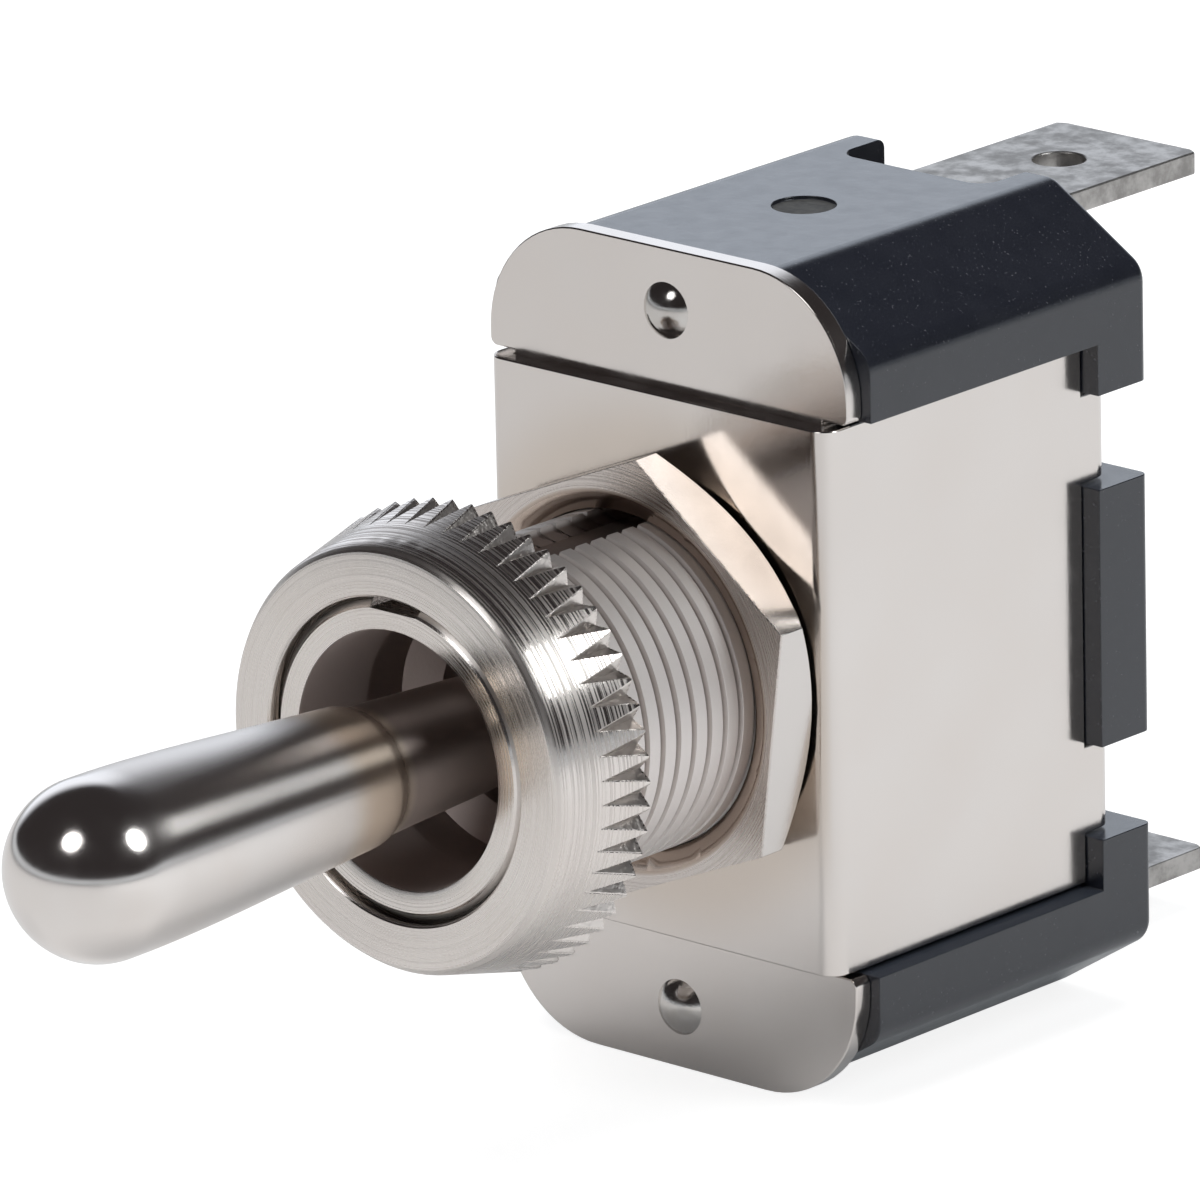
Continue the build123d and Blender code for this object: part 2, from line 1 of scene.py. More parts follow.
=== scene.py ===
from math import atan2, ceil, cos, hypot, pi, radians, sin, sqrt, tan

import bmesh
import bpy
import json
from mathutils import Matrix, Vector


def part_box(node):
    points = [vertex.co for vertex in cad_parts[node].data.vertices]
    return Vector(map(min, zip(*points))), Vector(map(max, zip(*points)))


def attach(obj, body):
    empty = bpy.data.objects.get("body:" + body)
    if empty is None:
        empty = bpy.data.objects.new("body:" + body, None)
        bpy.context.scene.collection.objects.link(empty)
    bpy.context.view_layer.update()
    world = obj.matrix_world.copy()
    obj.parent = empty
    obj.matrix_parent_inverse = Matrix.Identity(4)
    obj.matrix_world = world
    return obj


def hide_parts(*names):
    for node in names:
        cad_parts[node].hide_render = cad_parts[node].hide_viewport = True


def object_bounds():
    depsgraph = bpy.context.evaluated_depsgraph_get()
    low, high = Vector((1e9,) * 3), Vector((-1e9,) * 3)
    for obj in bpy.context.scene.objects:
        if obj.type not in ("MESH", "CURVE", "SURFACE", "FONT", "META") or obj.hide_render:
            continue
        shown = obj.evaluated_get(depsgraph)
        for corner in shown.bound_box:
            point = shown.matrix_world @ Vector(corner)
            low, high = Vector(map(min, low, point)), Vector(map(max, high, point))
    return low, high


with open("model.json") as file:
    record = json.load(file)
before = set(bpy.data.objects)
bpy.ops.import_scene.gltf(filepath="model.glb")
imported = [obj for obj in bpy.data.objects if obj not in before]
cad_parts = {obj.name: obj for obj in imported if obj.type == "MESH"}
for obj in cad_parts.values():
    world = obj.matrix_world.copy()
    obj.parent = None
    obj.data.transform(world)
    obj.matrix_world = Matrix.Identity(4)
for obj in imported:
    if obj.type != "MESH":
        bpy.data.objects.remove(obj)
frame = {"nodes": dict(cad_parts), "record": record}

# %% [markdown]
# A panel toggle switch, dressed for a studio photograph.
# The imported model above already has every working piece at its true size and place, so this
# lesson only gives it what the eye looks for: rolled threads, crisp notches, softened sheet
# edges and the finish of each metal. The bushing's axis is the Y axis: the lever points along
# -Y, the terminals along +Y. Lengths are in metres, and MM turns millimetres into them.

MM = 0.001
cad_low, cad_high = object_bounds()
body_of_node = {n: b for b, ns in frame["record"]["behaviour"]["bodies"].items() for n in ns}
slot_of_node = {s["node"]: s["material_slot"] for s in frame["record"]["subparts"]}
print("pieces in the packed model:", len(frame["nodes"]))
print("its box in mm:", [round(v / MM, 2) for v in (*cad_low, *cad_high)])

# %% [markdown]
# The photograph was taken from the front right and a little above, with a long lens, so lines
# that are parallel on the switch stay nearly parallel in the picture. A long lens far away is
# the way to get that; a wide lens close by would swell the lever's tip.

# %% Camera
CAMERA_PLACE = Vector((326.0, -363.65, 155.5)) * MM
CAMERA_TURN = (radians(72.592), radians(1.170), radians(41.740))

camera_data = bpy.data.cameras.new("long_lens")
camera_data.sensor_width = 36
camera_data.lens = 450
camera_data.clip_start = 0.05
camera_data.clip_end = 10
camera = bpy.data.objects.new("camera", camera_data)
camera.location = CAMERA_PLACE
camera.rotation_euler = CAMERA_TURN
bpy.context.scene.collection.objects.link(camera)
bpy.context.scene.camera = camera
bpy.context.scene.view_settings.view_transform = "Standard"
print("camera stands", round(camera.location.length / MM), "mm from the switch")

# %% [markdown]
# The room, the floor and every finish are trees of shader nodes. Writing out each node, its
# settings and its links takes many lines, so a few helpers do it: each adds one node, fills
# its inputs with plain values or with links, and hands back its output. A mask is such an
# output, 1 where something holds and 0 elsewhere, and masks decide where a colour goes.

# %% Node helpers
def add_node(tree, kind, inputs=(), **settings):
    """Add a shader node; an input may be a plain value or another node's output."""
    made = tree.nodes.new(kind)
    for name, value in settings.items():
        setattr(made, name, value)
    for socket, value in dict(inputs).items():
        if isinstance(value, bpy.types.NodeSocket):
            tree.links.new(value, made.inputs[socket])
        else:
            made.inputs[socket].default_value = value
    return made


def maths(tree, operation, *values):
    return add_node(tree, "ShaderNodeMath", enumerate(values), operation=operation).outputs[0]


def vector_maths(tree, operation, *vectors):
    made = add_node(tree, "ShaderNodeVectorMath", enumerate(vectors), operation=operation)
    return made.outputs


def axes_of(tree, vector):
    return add_node(tree, "ShaderNodeSeparateXYZ", {0: vector}).outputs


def piece_space(tree):
    return add_node(tree, "ShaderNodeTexCoord").outputs["Object"]


print("node helpers ready")

# %% Masks and blends
def ramp(tree, value, low, high, to_low=0.0, to_high=1.0):
    """Carry a value from one span to another, eased at both ends and held outside it."""
    inputs = {"Value": value, "From Min": low, "From Max": high, "To Min": to_low, "To Max": to_high}
    made = add_node(tree, "ShaderNodeMapRange", inputs, interpolation_type="SMOOTHSTEP")
    return made.outputs["Result"]


def above(tree, value, fade):
    """A mask that comes in over a fade: 0 short of it, 1 past it."""
    return ramp(tree, value, *fade)


def below(tree, value, fade):
    """A mask that goes out over a fade: 1 short of it, 0 past it."""
    return ramp(tree, value, *fade, 1.0, 0.0)


def product(tree, first, *others):
    """Masks multiplied, so that what is left is where all of them hold."""
    for other in others:
        first = maths(tree, "MULTIPLY", first, other)
    return first


def blend_values(tree, factor, first, second):
    inputs = {0: factor, 2: first, 3: second}
    return add_node(tree, "ShaderNodeMix", inputs, data_type="FLOAT").outputs[0]


def blend_colours(tree, factor, first, second):
    inputs = {0: factor, 6: first, 7: second}
    return add_node(tree, "ShaderNodeMix", inputs, data_type="RGBA").outputs[2]


print("masks and blends ready")

# %% [markdown]
# Nickel shows what stands round it more than its own colour. In the photograph the lower half
# of every round piece mirrors something pale, the upper half a dark room and the far edge a
# bright backdrop. Cards could be stood round the switch for that, but one world does it for
# every ray: pale at and below the horizon, bright towards the backdrop, dark above.

# %% The room
ROOM_DARK = (0.035, 0.031, 0.032, 1)
LOW_WHITE = (0.63, 0.67, 0.71, 1)
BACKDROP_WHITE = (1.14, 1.22, 1.34, 1)
BACKDROP_SIDE = (-0.671, 0.741, 0)
HORIZON_FADE = (0.06, 0.11)
BACKDROP_FADE = (0.70, 0.90)


def paint_room():
    world = bpy.data.worlds.new("studio_room")
    bpy.context.scene.world = world
    world.use_nodes = True
    tree = world.node_tree
    looking = add_node(tree, "ShaderNodeTexCoord").outputs["Generated"]
    height = axes_of(tree, looking)["Z"]
    towards_backdrop = vector_maths(tree, "DOT_PRODUCT", looking, BACKDROP_SIDE)["Value"]
    bright = above(tree, towards_backdrop, BACKDROP_FADE)
    low = below(tree, height, HORIZON_FADE)
    colour = blend_colours(tree, bright, ROOM_DARK, BACKDROP_WHITE)
    colour = blend_colours(tree, low, colour, LOW_WHITE)
    tree.links.new(colour, tree.nodes["Background"].inputs["Color"])
    return world


world = paint_room()
print("room painted with", len(world.node_tree.nodes), "nodes")

# %% [markdown]
# Two round lamps leave two white spots on the lever's tip, one from the front and one from the
# right. Their light alone leaves the floor grey, so a wide fill hangs overhead. It is hidden
# from reflections, because the photograph has no third spot.

# %% Lamps
LAMP_DISTANCE = 0.5
SPOT_WIDTH = 0.20
FILL_WIDTH = 0.50
NEUTRAL = (1, 1, 1)


def soft_lamp(name, direction, power, width, tint=NEUTRAL):
    """A round soft box that shines at the switch from a direction."""
    lamp = bpy.data.lights.new(name, "AREA")
    lamp.shape = "DISK"
    lamp.size = width
    lamp.energy = power
    lamp.color = tint
    stand = bpy.data.objects.new(name, lamp)
    stand.location = Vector(direction).normalized() * LAMP_DISTANCE
    stand.rotation_euler = Vector(direction).to_track_quat("Z", "Y").to_euler()
    stand.visible_camera = False
    bpy.context.scene.collection.objects.link(stand)
    return stand


soft_lamp("front_soft_box", (0.007, -0.712, 0.701), 0.32, SPOT_WIDTH, (0.96, 0.98, 1.0))
soft_lamp("right_soft_box", (0.740, 0.223, 0.634), 0.70, SPOT_WIDTH, (0.94, 0.98, 1.0))
overhead = soft_lamp("overhead_fill", (-0.10, -0.05, 1.0), 2.3, FILL_WIDTH)
overhead.visible_glossy = False
print("lamps:", len(bpy.data.lights), "of which the metal mirrors two")

# %% [markdown]
# The switch stands on a pale floor that fills the picture. A matt white floor alone comes out
# light grey, so for the camera part of its white is its own glow, and the rest still takes the
# shadow. Reflections get less of that glow, so that nickel near the ground mirrors the shadow
# under the switch. What they get is dim on the left, under the lever, and white on the right.

# %% White of the floor
FLOOR_WHITE = (0.92, 0.92, 0.92, 1)
SEEN_WHITE = (1, 1, 1, 1)
SEEN_GLOW = 1.40
SEEN_SHARE = 0.62
MIRRORED_WHITE = (0.93, 0.99, 1.05, 1)
MIRRORED_GLOW = (0.30, 1.10)
MIRRORED_SHARE = 0.22
BRIGHT_SIDE = (0.671, 0.741, 0)
BRIGHT_SIDE_FADE = (-0.05, 0.06)


def floor_white():
    material = bpy.data.materials.new("pale_floor")
    material.use_nodes = True
    tree = material.node_tree
    tree.nodes.remove(tree.nodes["Principled BSDF"])
    matt = add_node(tree, "ShaderNodeBsdfDiffuse", {"Color": FLOOR_WHITE}).outputs[0]
    ray = add_node(tree, "ShaderNodeLightPath").outputs
    to_right = vector_maths(tree, "DOT_PRODUCT", piece_space(tree), BRIGHT_SIDE)["Value"]
    mirrored = ramp(tree, to_right, *BRIGHT_SIDE_FADE, *MIRRORED_GLOW)
    strength = blend_values(tree, ray["Is Camera Ray"], mirrored, SEEN_GLOW)
    tint = blend_colours(tree, ray["Is Camera Ray"], MIRRORED_WHITE, SEEN_WHITE)
    glow = add_node(tree, "ShaderNodeEmission", {"Color": tint, "Strength": strength}).outputs[0]
    mirrored_share = maths(tree, "MULTIPLY", ray["Is Glossy Ray"], MIRRORED_SHARE)
    seen_share = maths(tree, "MULTIPLY", ray["Is Camera Ray"], SEEN_SHARE)
    share = maths(tree, "MAXIMUM", mirrored_share, seen_share)
    white = add_node(tree, "ShaderNodeMixShader", {0: share, 1: matt, 2: glow}).outputs[0]
    tree.links.new(white, tree.nodes["Material Output"].inputs["Surface"])
    return material


pale_floor = floor_white()
print("floor material:", pale_floor.name)

# %% Floor
FLOOR_HALF = 2.0
FLOOR_GAP = 0.02 * MM


def lay_floor():
    level = cad_low.z - FLOOR_GAP
    square = ((-1, -1), (1, -1), (1, 1), (-1, 1))
    corners = [(x * FLOOR_HALF, y * FLOOR_HALF, level) for x, y in square]
    mesh = bpy.data.meshes.new("floor")
    mesh.from_pydata(corners, [], [(0, 1, 2, 3)])
    mesh.materials.append(pale_floor)
    floor = bpy.data.objects.new("floor", mesh)
    bpy.context.scene.collection.objects.link(floor)
    return level


floor_level = lay_floor()
print("floor laid at", round(floor_level / MM, 2), "mm, just under the case")

# %% [markdown]
# Finishes come next. Each starts from the same metal or plastic shader, with its plain values
# set on the shader itself, and gets the fine marks of how that piece was made: rings from the
# lathe, grain from the rolling mill, specks in the moulding. Pictures of metal could be wrapped
# round the pieces, but noise needs no unwrapping and stays sharp in a close view.

# %% Helpers for colour and gloss
MIDDLE_OF_NOISE = (0.25, 0.75)
finishes = {}


def start_finish(name, **plain):
    """A new material with plain values on its shader; returns it, its tree and its shader."""
    material = bpy.data.materials.new(name)
    material.use_nodes = True
    tree = material.node_tree
    shader = tree.nodes["Principled BSDF"]
    for words, value in plain.items():
        shader.inputs[words.replace("_", " ")].default_value = value
    return material, tree, shader


def cloud(tree, place, size, detail=3.0, roughness=0.55):
    """Soft noise whose patches are about one size across, given in metres."""
    inputs = {"Vector": place, "Scale": 1 / size, "Detail": detail, "Roughness": roughness}
    return add_node(tree, "ShaderNodeTexNoise", inputs).outputs[0]


def patchy(tree, place, size, first, second):
    """Two colours that change over softly, as plating and plastic do."""
    return blend_colours(tree, cloud(tree, place, size), first, second)


def spread(tree, marks, low, high):
    """Spread the middle of a noise over a span of values."""
    return ramp(tree, marks, *MIDDLE_OF_NOISE, low, high)


print("colour and gloss helpers ready")

# %% Helpers for tool marks
TURNED_TANGENT = 0.25


def radius_and_reach(tree, place):
    """The distance from the bushing axis and the place along it, of the point being shaded."""
    axes = axes_of(tree, place)
    across = add_node(tree, "ShaderNodeCombineXYZ", {0: axes[0], 2: axes[2]}).outputs[0]
    return vector_maths(tree, "LENGTH", across)["Value"], axes[1]


def lathe_rings(tree, place, spacing):
    """Noise that depends on the radius and on the place along the axis, as a lathe tool leaves it."""
    radius, reach = radius_and_reach(tree, place)
    turned = add_node(tree, "ShaderNodeCombineXYZ", {0: radius, 1: reach}).outputs[0]
    inputs = {"Vector": turned, "Scale": 1 / spacing, "Detail": 2.0}
    return add_node(tree, "ShaderNodeTexNoise", inputs, noise_dimensions="2D").outputs[0]


def smear_along_axis(tree, shader):
    """Lay the shader's stretched highlights across the turning marks, that is along the axis."""
    tangent = add_node(tree, "ShaderNodeTangent", direction_type="RADIAL", axis="Y").outputs[0]
    tree.links.new(tangent, shader.inputs["Tangent"])
    shader.inputs["Anisotropic Rotation"].default_value = TURNED_TANGENT


def raise_marks(tree, shader, marks, depth, before=None):
    """Turn marks into fine relief; depth is in metres, before is relief that lies under it."""
    inputs = {"Height": marks, "Strength": 1.0, "Distance": depth}
    if before is not None:
        inputs["Normal"] = before
    bump = add_node(tree, "ShaderNodeBump", inputs).outputs[0]
    tree.links.new(bump, shader.inputs["Normal"])
    return bump


print("tool mark helpers ready")

# %% [markdown]
# The lever is polished and bright plated. Its nose is almost a mirror, but its shaft keeps fine
# marks that run round it and smear the right lamp into one silvery streak. A painted streak
# would stay where it is when the light moves, so the highlights are stretched instead. The
# shaft's roughness hardly varies, because a wider spread looks sandblasted. Towards the bushing
# the plating turns faintly brown on the shoulder. The neck is painted dark brown, as painted
# shade and reflection from inside the bushing.

# %% Bright nickel, for the lever
SHAFT_FADE = (-29.0 * MM, -26.6 * MM)
SHOULDER_FADE = (-18.6 * MM, -17.0 * MM)
NECK_FADE = (-15.4 * MM, -14.6 * MM)
LEVER_WARM = (0.74, 0.68, 0.635, 1)
LEVER_COOL = (0.79, 0.755, 0.73, 1)
SHOULDER_BROWN = (0.72, 0.60, 0.49, 1)
# The neck's dark brown is painted shade and reflection from inside the bushing.
NECK_PAINTED_SHADE = (0.37, 0.30, 0.27, 1)
NOSE_ROUGHNESS = (0.11, 0.16)
SHAFT_ROUGHNESS = (0.25, 0.268)
NECK_ROUGHNESS = 0.42
SHAFT_SMEAR = 0.93
LEVER_RELIEF = 0.0002 * MM


def bright_nickel():
    material, tree, shader = start_finish("bright_nickel", Metallic=1.0)
    place = piece_space(tree)
    reach = radius_and_reach(tree, place)[1]
    shaft = above(tree, reach, SHAFT_FADE)
    neck = above(tree, reach, NECK_FADE)
    base = patchy(tree, place, 3.0 * MM, LEVER_WARM, LEVER_COOL)
    base = blend_colours(tree, above(tree, reach, SHOULDER_FADE), base, SHOULDER_BROWN)
    # Painted shade: the neck turns dark brown towards the bushing.
    base = blend_colours(tree, neck, base, NECK_PAINTED_SHADE)
    tree.links.new(base, shader.inputs["Base Color"])
    grain = cloud(tree, place, 0.08 * MM, detail=1.0)
    polished = spread(tree, cloud(tree, place, 0.8 * MM), *NOSE_ROUGHNESS)
    streaked = ramp(tree, grain, 0.3, 0.7, *SHAFT_ROUGHNESS)
    rough = blend_values(tree, shaft, polished, streaked)
    rough = blend_values(tree, neck, rough, NECK_ROUGHNESS)
    tree.links.new(rough, shader.inputs["Roughness"])
    smear = maths(tree, "MULTIPLY", shaft, SHAFT_SMEAR)
    tree.links.new(smear, shader.inputs["Anisotropic"])
    smear_along_axis(tree, shader)
    first = raise_marks(tree, shader, product(tree, grain, shaft), LEVER_RELIEF)
    raise_marks(tree, shader, lathe_rings(tree, place, 0.04 * MM), LEVER_RELIEF, first)
    return material


finishes["bright_nickel"] = bright_nickel()
print("bright nickel nodes:", len(finishes["bright_nickel"].node_tree.nodes))

# %% [markdown]
# The bushing and both nuts are turned from bar and plated together, and they share one finish.
# It changes from place to place: dull in the bore, where painted shade makes it darker and
# browner, dull crests on the thread with painted shade in its grooves, painted shade in the
# countersink of the back nut, torn walls in the notches of the face nut, and smooth flats on
# the back nut, which the lathe never touched. Each place could be a material of its own. Masks
# by radius and by reach along the axis need no seams in the mesh, so they do it here.

# %% Places on the turned pieces
BORE_FADE = (4.53 * MM, 4.56 * MM)
CREST_FADE = (5.97 * MM, 5.99 * MM)
GROOVE_FADE = (5.66 * MM, 5.90 * MM)
COUNTERSINK_FADE = (6.70 * MM, 6.85 * MM)
FLANK_FADE = (7.3 * MM, 7.6 * MM)
BEHIND_NUT_FADE = (-9.9 * MM, -9.8 * MM)
FACE_NUT_FADE = (-9.9 * MM, -9.7 * MM)
BACK_NUT_FADE = (-2.4 * MM, -2.3 * MM)
HEX_FLATS_FADE = (-2.22 * MM, -2.12 * MM)
NOTCH_FADE = (0.01 * MM, 0.05 * MM)
CONE_Y = -13.45 * MM
CONE_R = 7.4 * MM
CONE_SLOPE = 0.85 / 3.7


def turned_places(tree, place):
    """A mask for each place of the turned pieces that looks different from the rest."""
    radius, reach = radius_and_reach(tree, place)
    behind_nut = above(tree, reach, BEHIND_NUT_FADE)
    thread = product(tree, behind_nut, below(tree, radius, CREST_FADE))
    countersink = product(tree, behind_nut, below(tree, radius, COUNTERSINK_FADE))
    cone = maths(tree, "MULTIPLY_ADD", maths(tree, "SUBTRACT", reach, CONE_Y), CONE_SLOPE, CONE_R)
    under_cone = above(tree, maths(tree, "SUBTRACT", cone, radius), NOTCH_FADE)
    flank = product(tree, above(tree, radius, FLANK_FADE), below(tree, reach, FACE_NUT_FADE))
    return {
        "back_nut": above(tree, reach, BACK_NUT_FADE),
        "hex_flats": above(tree, reach, HEX_FLATS_FADE),
        "thread": thread,
        "groove": product(tree, thread, below(tree, radius, GROOVE_FADE)),
        "countersink": maths(tree, "SUBTRACT", countersink, thread),
        "bore": below(tree, radius, BORE_FADE),
        "flank": flank,
        "notch": product(tree, under_cone, flank),
    }


print("places on the turned pieces defined")

# %% [markdown]
# Over those places go colour, gloss and smear. The colours are laid one over the other, so the
# bore comes last and wins inside the bushing. The flank of the face nut has the strongest
# rings, which break its highlight into bright and dark bands.

# %% Colour and gloss of turned nickel
TURNED_WARM = (0.69, 0.63, 0.585, 1)
TURNED_COOL = (0.75, 0.705, 0.67, 1)
TURNED_COLOURS = {
    "back_nut": (0.60, 0.545, 0.51, 1),
    "hex_flats": (0.67, 0.63, 0.60, 1),
    "thread": (0.84, 0.79, 0.76, 1),
    # groove: painted shade in the roots of the thread
    "groove": (0.30, 0.24, 0.215, 1),
    # countersink: painted shade in the hollow of the back nut
    "countersink": (0.50, 0.41, 0.35, 1),
    # bore: painted shade, darker and browner inside the bushing
    "bore": (0.53, 0.45, 0.42, 1),
}
TURNED_ROUGHNESS = {"hex_flats": 0.20, "thread": 0.60, "notch": 0.30, "bore": 0.55}
TURNED_SMEAR = 0.70
FLANK_SMEAR = 0.50


def turned_colour(tree, place, where):
    base = patchy(tree, place, 2.5 * MM, TURNED_WARM, TURNED_COOL)
    for name, colour in TURNED_COLOURS.items():
        base = blend_colours(tree, where[name], base, colour)
    return base


def turned_roughness(tree, rings, where):
    on_flank = ramp(tree, rings, 0.38, 0.60, 0.15, 0.50)
    rough = blend_values(tree, where["flank"], ramp(tree, rings, 0.35, 0.65, 0.17, 0.36), on_flank)
    for name, value in TURNED_ROUGHNESS.items():
        rough = blend_values(tree, where[name], rough, value)
    return rough


def turned_smear(tree, where):
    """How far highlights are drawn out; not at all on thread, notches and hex flats."""
    even = maths(tree, "MAXIMUM", where["thread"], where["notch"])
    even = maths(tree, "MAXIMUM", even, where["hex_flats"])
    smear = blend_values(tree, where["flank"], TURNED_SMEAR, FLANK_SMEAR)
    return maths(tree, "MULTIPLY", smear, maths(tree, "SUBTRACT", 1.0, even))


print("colours on turned nickel:", len(TURNED_COLOURS))

# %% [markdown]
# Last comes its relief: rings everywhere but on the hex flats, small nicks on the thread, and
# tears in the notches, where the broach pulled at the metal.

# %% Turned nickel, for the bushing and the nuts
RING_SPACING = 0.07 * MM
RING_DEPTH = 0.0030 * MM
GRAIN_DEPTH = 0.0014 * MM
TEARS_OVER_GRAIN = 24.0
NICKS_OVER_GRAIN = 7.0


def turned_relief(tree, shader, place, rings, where):
    tears = product(tree, cloud(tree, place, 0.30 * MM, detail=2.0), where["notch"])
    nicks = product(tree, cloud(tree, place, 0.15 * MM, detail=2.0), where["thread"])
    grain = cloud(tree, place, 0.12 * MM)
    grain = maths(tree, "MULTIPLY_ADD", tears, TEARS_OVER_GRAIN, grain)
    grain = maths(tree, "MULTIPLY_ADD", nicks, NICKS_OVER_GRAIN, grain)
    off_flats = maths(tree, "SUBTRACT", 1.0, where["hex_flats"])
    first = raise_marks(tree, shader, product(tree, rings, off_flats), RING_DEPTH)
    raise_marks(tree, shader, grain, GRAIN_DEPTH, first)


def turned_nickel():
    material, tree, shader = start_finish("turned_nickel", Metallic=1.0)
    place = piece_space(tree)
    where = turned_places(tree, place)
    rings = lathe_rings(tree, place, RING_SPACING)
    tree.links.new(turned_colour(tree, place, where), shader.inputs["Base Color"])
    tree.links.new(turned_roughness(tree, rings, where), shader.inputs["Roughness"])
    tree.links.new(turned_smear(tree, where), shader.inputs["Anisotropic"])
    smear_along_axis(tree, shader)
    turned_relief(tree, shader, place, rings, where)
    return material


finishes["turned_nickel"] = turned_nickel()
print("turned nickel nodes:", len(finishes["turned_nickel"].node_tree.nodes))

# %% [markdown]
# The frame and the cover plate are pressed from rolled sheet and then plated. Rolling leaves a
# grain that runs up the sheet, so the noise is drawn out along Z. Round the back nut the front of
# the frame is painted brown, as painted shade and reflection of the nut, and this fades out
# above and below the nut.

# %% Plated sheet, for the frame and the cover plate
SHEET_WARM = (0.67, 0.615, 0.575, 1)
SHEET_COOL = (0.72, 0.68, 0.65, 1)
NUT_PAINTED_SHADE = (0.58, 0.49, 0.41, 1)
NUT_SHADE_STRENGTH = 0.60
NUT_SHADE_FADE = (7.6 * MM, 10.5 * MM)
FRONT_FACE_FADE = (0.02 * MM, 0.30 * MM)
SHEET_ROUGHNESS = (0.13, 0.21)
ROLLED_STRETCH = (1, 1, 10)


def brushed_along(tree, place, size, stretch):
    """Noise drawn out along one axis, as rolling or wiping leaves it."""
    scale = [1 / (size * pull) for pull in stretch]
    pulled = vector_maths(tree, "MULTIPLY", place, scale)[0]
    inputs = {"Vector": pulled, "Scale": 1.0, "Detail": 3.0}
    return add_node(tree, "ShaderNodeTexNoise", inputs).outputs[0]


def plated_sheet():
    material, tree, shader = start_finish("plated_sheet", Metallic=1.0)
    place = piece_space(tree)
    radius, reach = radius_and_reach(tree, place)
    # Painted shade and reflection of the nut, in a ring round it on the frame's front.
    by_nut = ramp(tree, radius, *NUT_SHADE_FADE, NUT_SHADE_STRENGTH, 0.0)
    painted_nut_shade = product(tree, by_nut, below(tree, reach, FRONT_FACE_FADE))
    base = patchy(tree, place, 4.0 * MM, SHEET_WARM, SHEET_COOL)
    base = blend_colours(tree, painted_nut_shade, base, NUT_PAINTED_SHADE)
    tree.links.new(base, shader.inputs["Base Color"])
    rough = spread(tree, cloud(tree, place, 2.0 * MM), *SHEET_ROUGHNESS)
    tree.links.new(rough, shader.inputs["Roughness"])
    rolled = brushed_along(tree, place, 0.12 * MM, ROLLED_STRETCH)
    first = raise_marks(tree, shader, rolled, 0.0015 * MM)
    raise_marks(tree, shader, cloud(tree, place, 0.18 * MM), 0.0018 * MM, first)
    return material


finishes["plated_sheet"] = plated_sheet()
print("plated sheet nodes:", len(finishes["plated_sheet"].node_tree.nodes))

# %% [markdown]
# The case is black moulded phenolic, near black with a half gloss. Its top looks blue-grey in
# the photograph, because it mirrors the backdrop at a low angle and has a fine haze. So the two
# ends of the case get a little blue in their colour: partly a haze of the moulding and partly a
# painted sheen that stands in for that reflection. In the middle of each end is a round dull mark
# that the mould left. It is a stain more than a step, so a mask draws it, by its distance from
# the mark's centre.

# %% Places on the case
END_FACING = (0.93, 0.99)
MARK_Y = 7.9 * MM
MARK_FADE = (1.08 * MM, 1.13 * MM)
MARK_HEIGHT_FADE = (14.0 * MM, 14.2 * MM)


def ends_of_case(tree):
    """A mask of the faces that look straight up or straight down."""
    facing = add_node(tree, "ShaderNodeTexCoord").outputs["Normal"]
    return above(tree, maths(tree, "ABSOLUTE", axes_of(tree, facing)["Z"]), END_FACING)


def mould_marks(tree, place):
    """A mask of the round mark on each end of the case."""
    axes = axes_of(tree, place)
    behind_mark = maths(tree, "SUBTRACT", axes[1], MARK_Y)
    from_mark = add_node(tree, "ShaderNodeCombineXYZ", {0: axes[0], 1: behind_mark}).outputs[0]
    disc = below(tree, vector_maths(tree, "LENGTH", from_mark)["Value"], MARK_FADE)
    at_end = above(tree, maths(tree, "ABSOLUTE", axes[2]), MARK_HEIGHT_FADE)
    return product(tree, disc, at_end)


print("places on the case defined")

# %% Moulded case
CASE_DEEP = (0.010, 0.012, 0.018, 1)
CASE_DUSTY = (0.018, 0.020, 0.028, 1)
CASE_ENDS_PAINTED_SHEEN = (0.050, 0.058, 0.075, 1)
MARK_DARK = (0.015, 0.015, 0.018, 1)
MARK_PALE = (0.09, 0.09, 0.085, 1)
SPECK_GREY = (0.10, 0.10, 0.11, 1)
SPECK_FADE = (0.70, 0.78)
CASE_ROUGHNESS = (0.20, 0.27)
MARK_ROUGHNESS = 0.75
MARK_OVER_GRAIN = 12.0


def moulded_case():
    material, tree, shader = start_finish("moulded_case", IOR=1.62)
    place = piece_space(tree)
    mark = mould_marks(tree, place)
    base = patchy(tree, place, 2.0 * MM, CASE_DEEP, CASE_DUSTY)
    # Painted sheen: faces that look straight up or down get a lighter blue-grey colour.
    base = blend_colours(tree, ends_of_case(tree), base, CASE_ENDS_PAINTED_SHEEN)
    base = blend_colours(tree, mark, base, patchy(tree, place, 0.3 * MM, MARK_DARK, MARK_PALE))
    specks = above(tree, cloud(tree, place, 0.10 * MM, detail=1.0), SPECK_FADE)
    base = blend_colours(tree, specks, base, SPECK_GREY)
    tree.links.new(base, shader.inputs["Base Color"])
    rough = spread(tree, cloud(tree, place, 0.9 * MM), *CASE_ROUGHNESS)
    rough = blend_values(tree, mark, rough, MARK_ROUGHNESS)
    tree.links.new(rough, shader.inputs["Roughness"])
    mark_grain = product(tree, cloud(tree, place, 0.25 * MM), mark)
    grain = cloud(tree, place, 0.09 * MM)
    grain = maths(tree, "MULTIPLY_ADD", mark_grain, MARK_OVER_GRAIN, grain)
    first = raise_marks(tree, shader, cloud(tree, place, 0.6 * MM), 0.006 * MM)
    raise_marks(tree, shader, grain, 0.0022 * MM, first)
    return material


finishes["moulded_case"] = moulded_case()
print("moulded case nodes:", len(finishes["moulded_case"].node_tree.nodes))

# %% [markdown]
# The terminals are brass strip with dull tin on it. Hot tin freezes in pale and dark flakes, so
# one noise drives both the colour and the gloss: where the tin is pale it is also smoother.

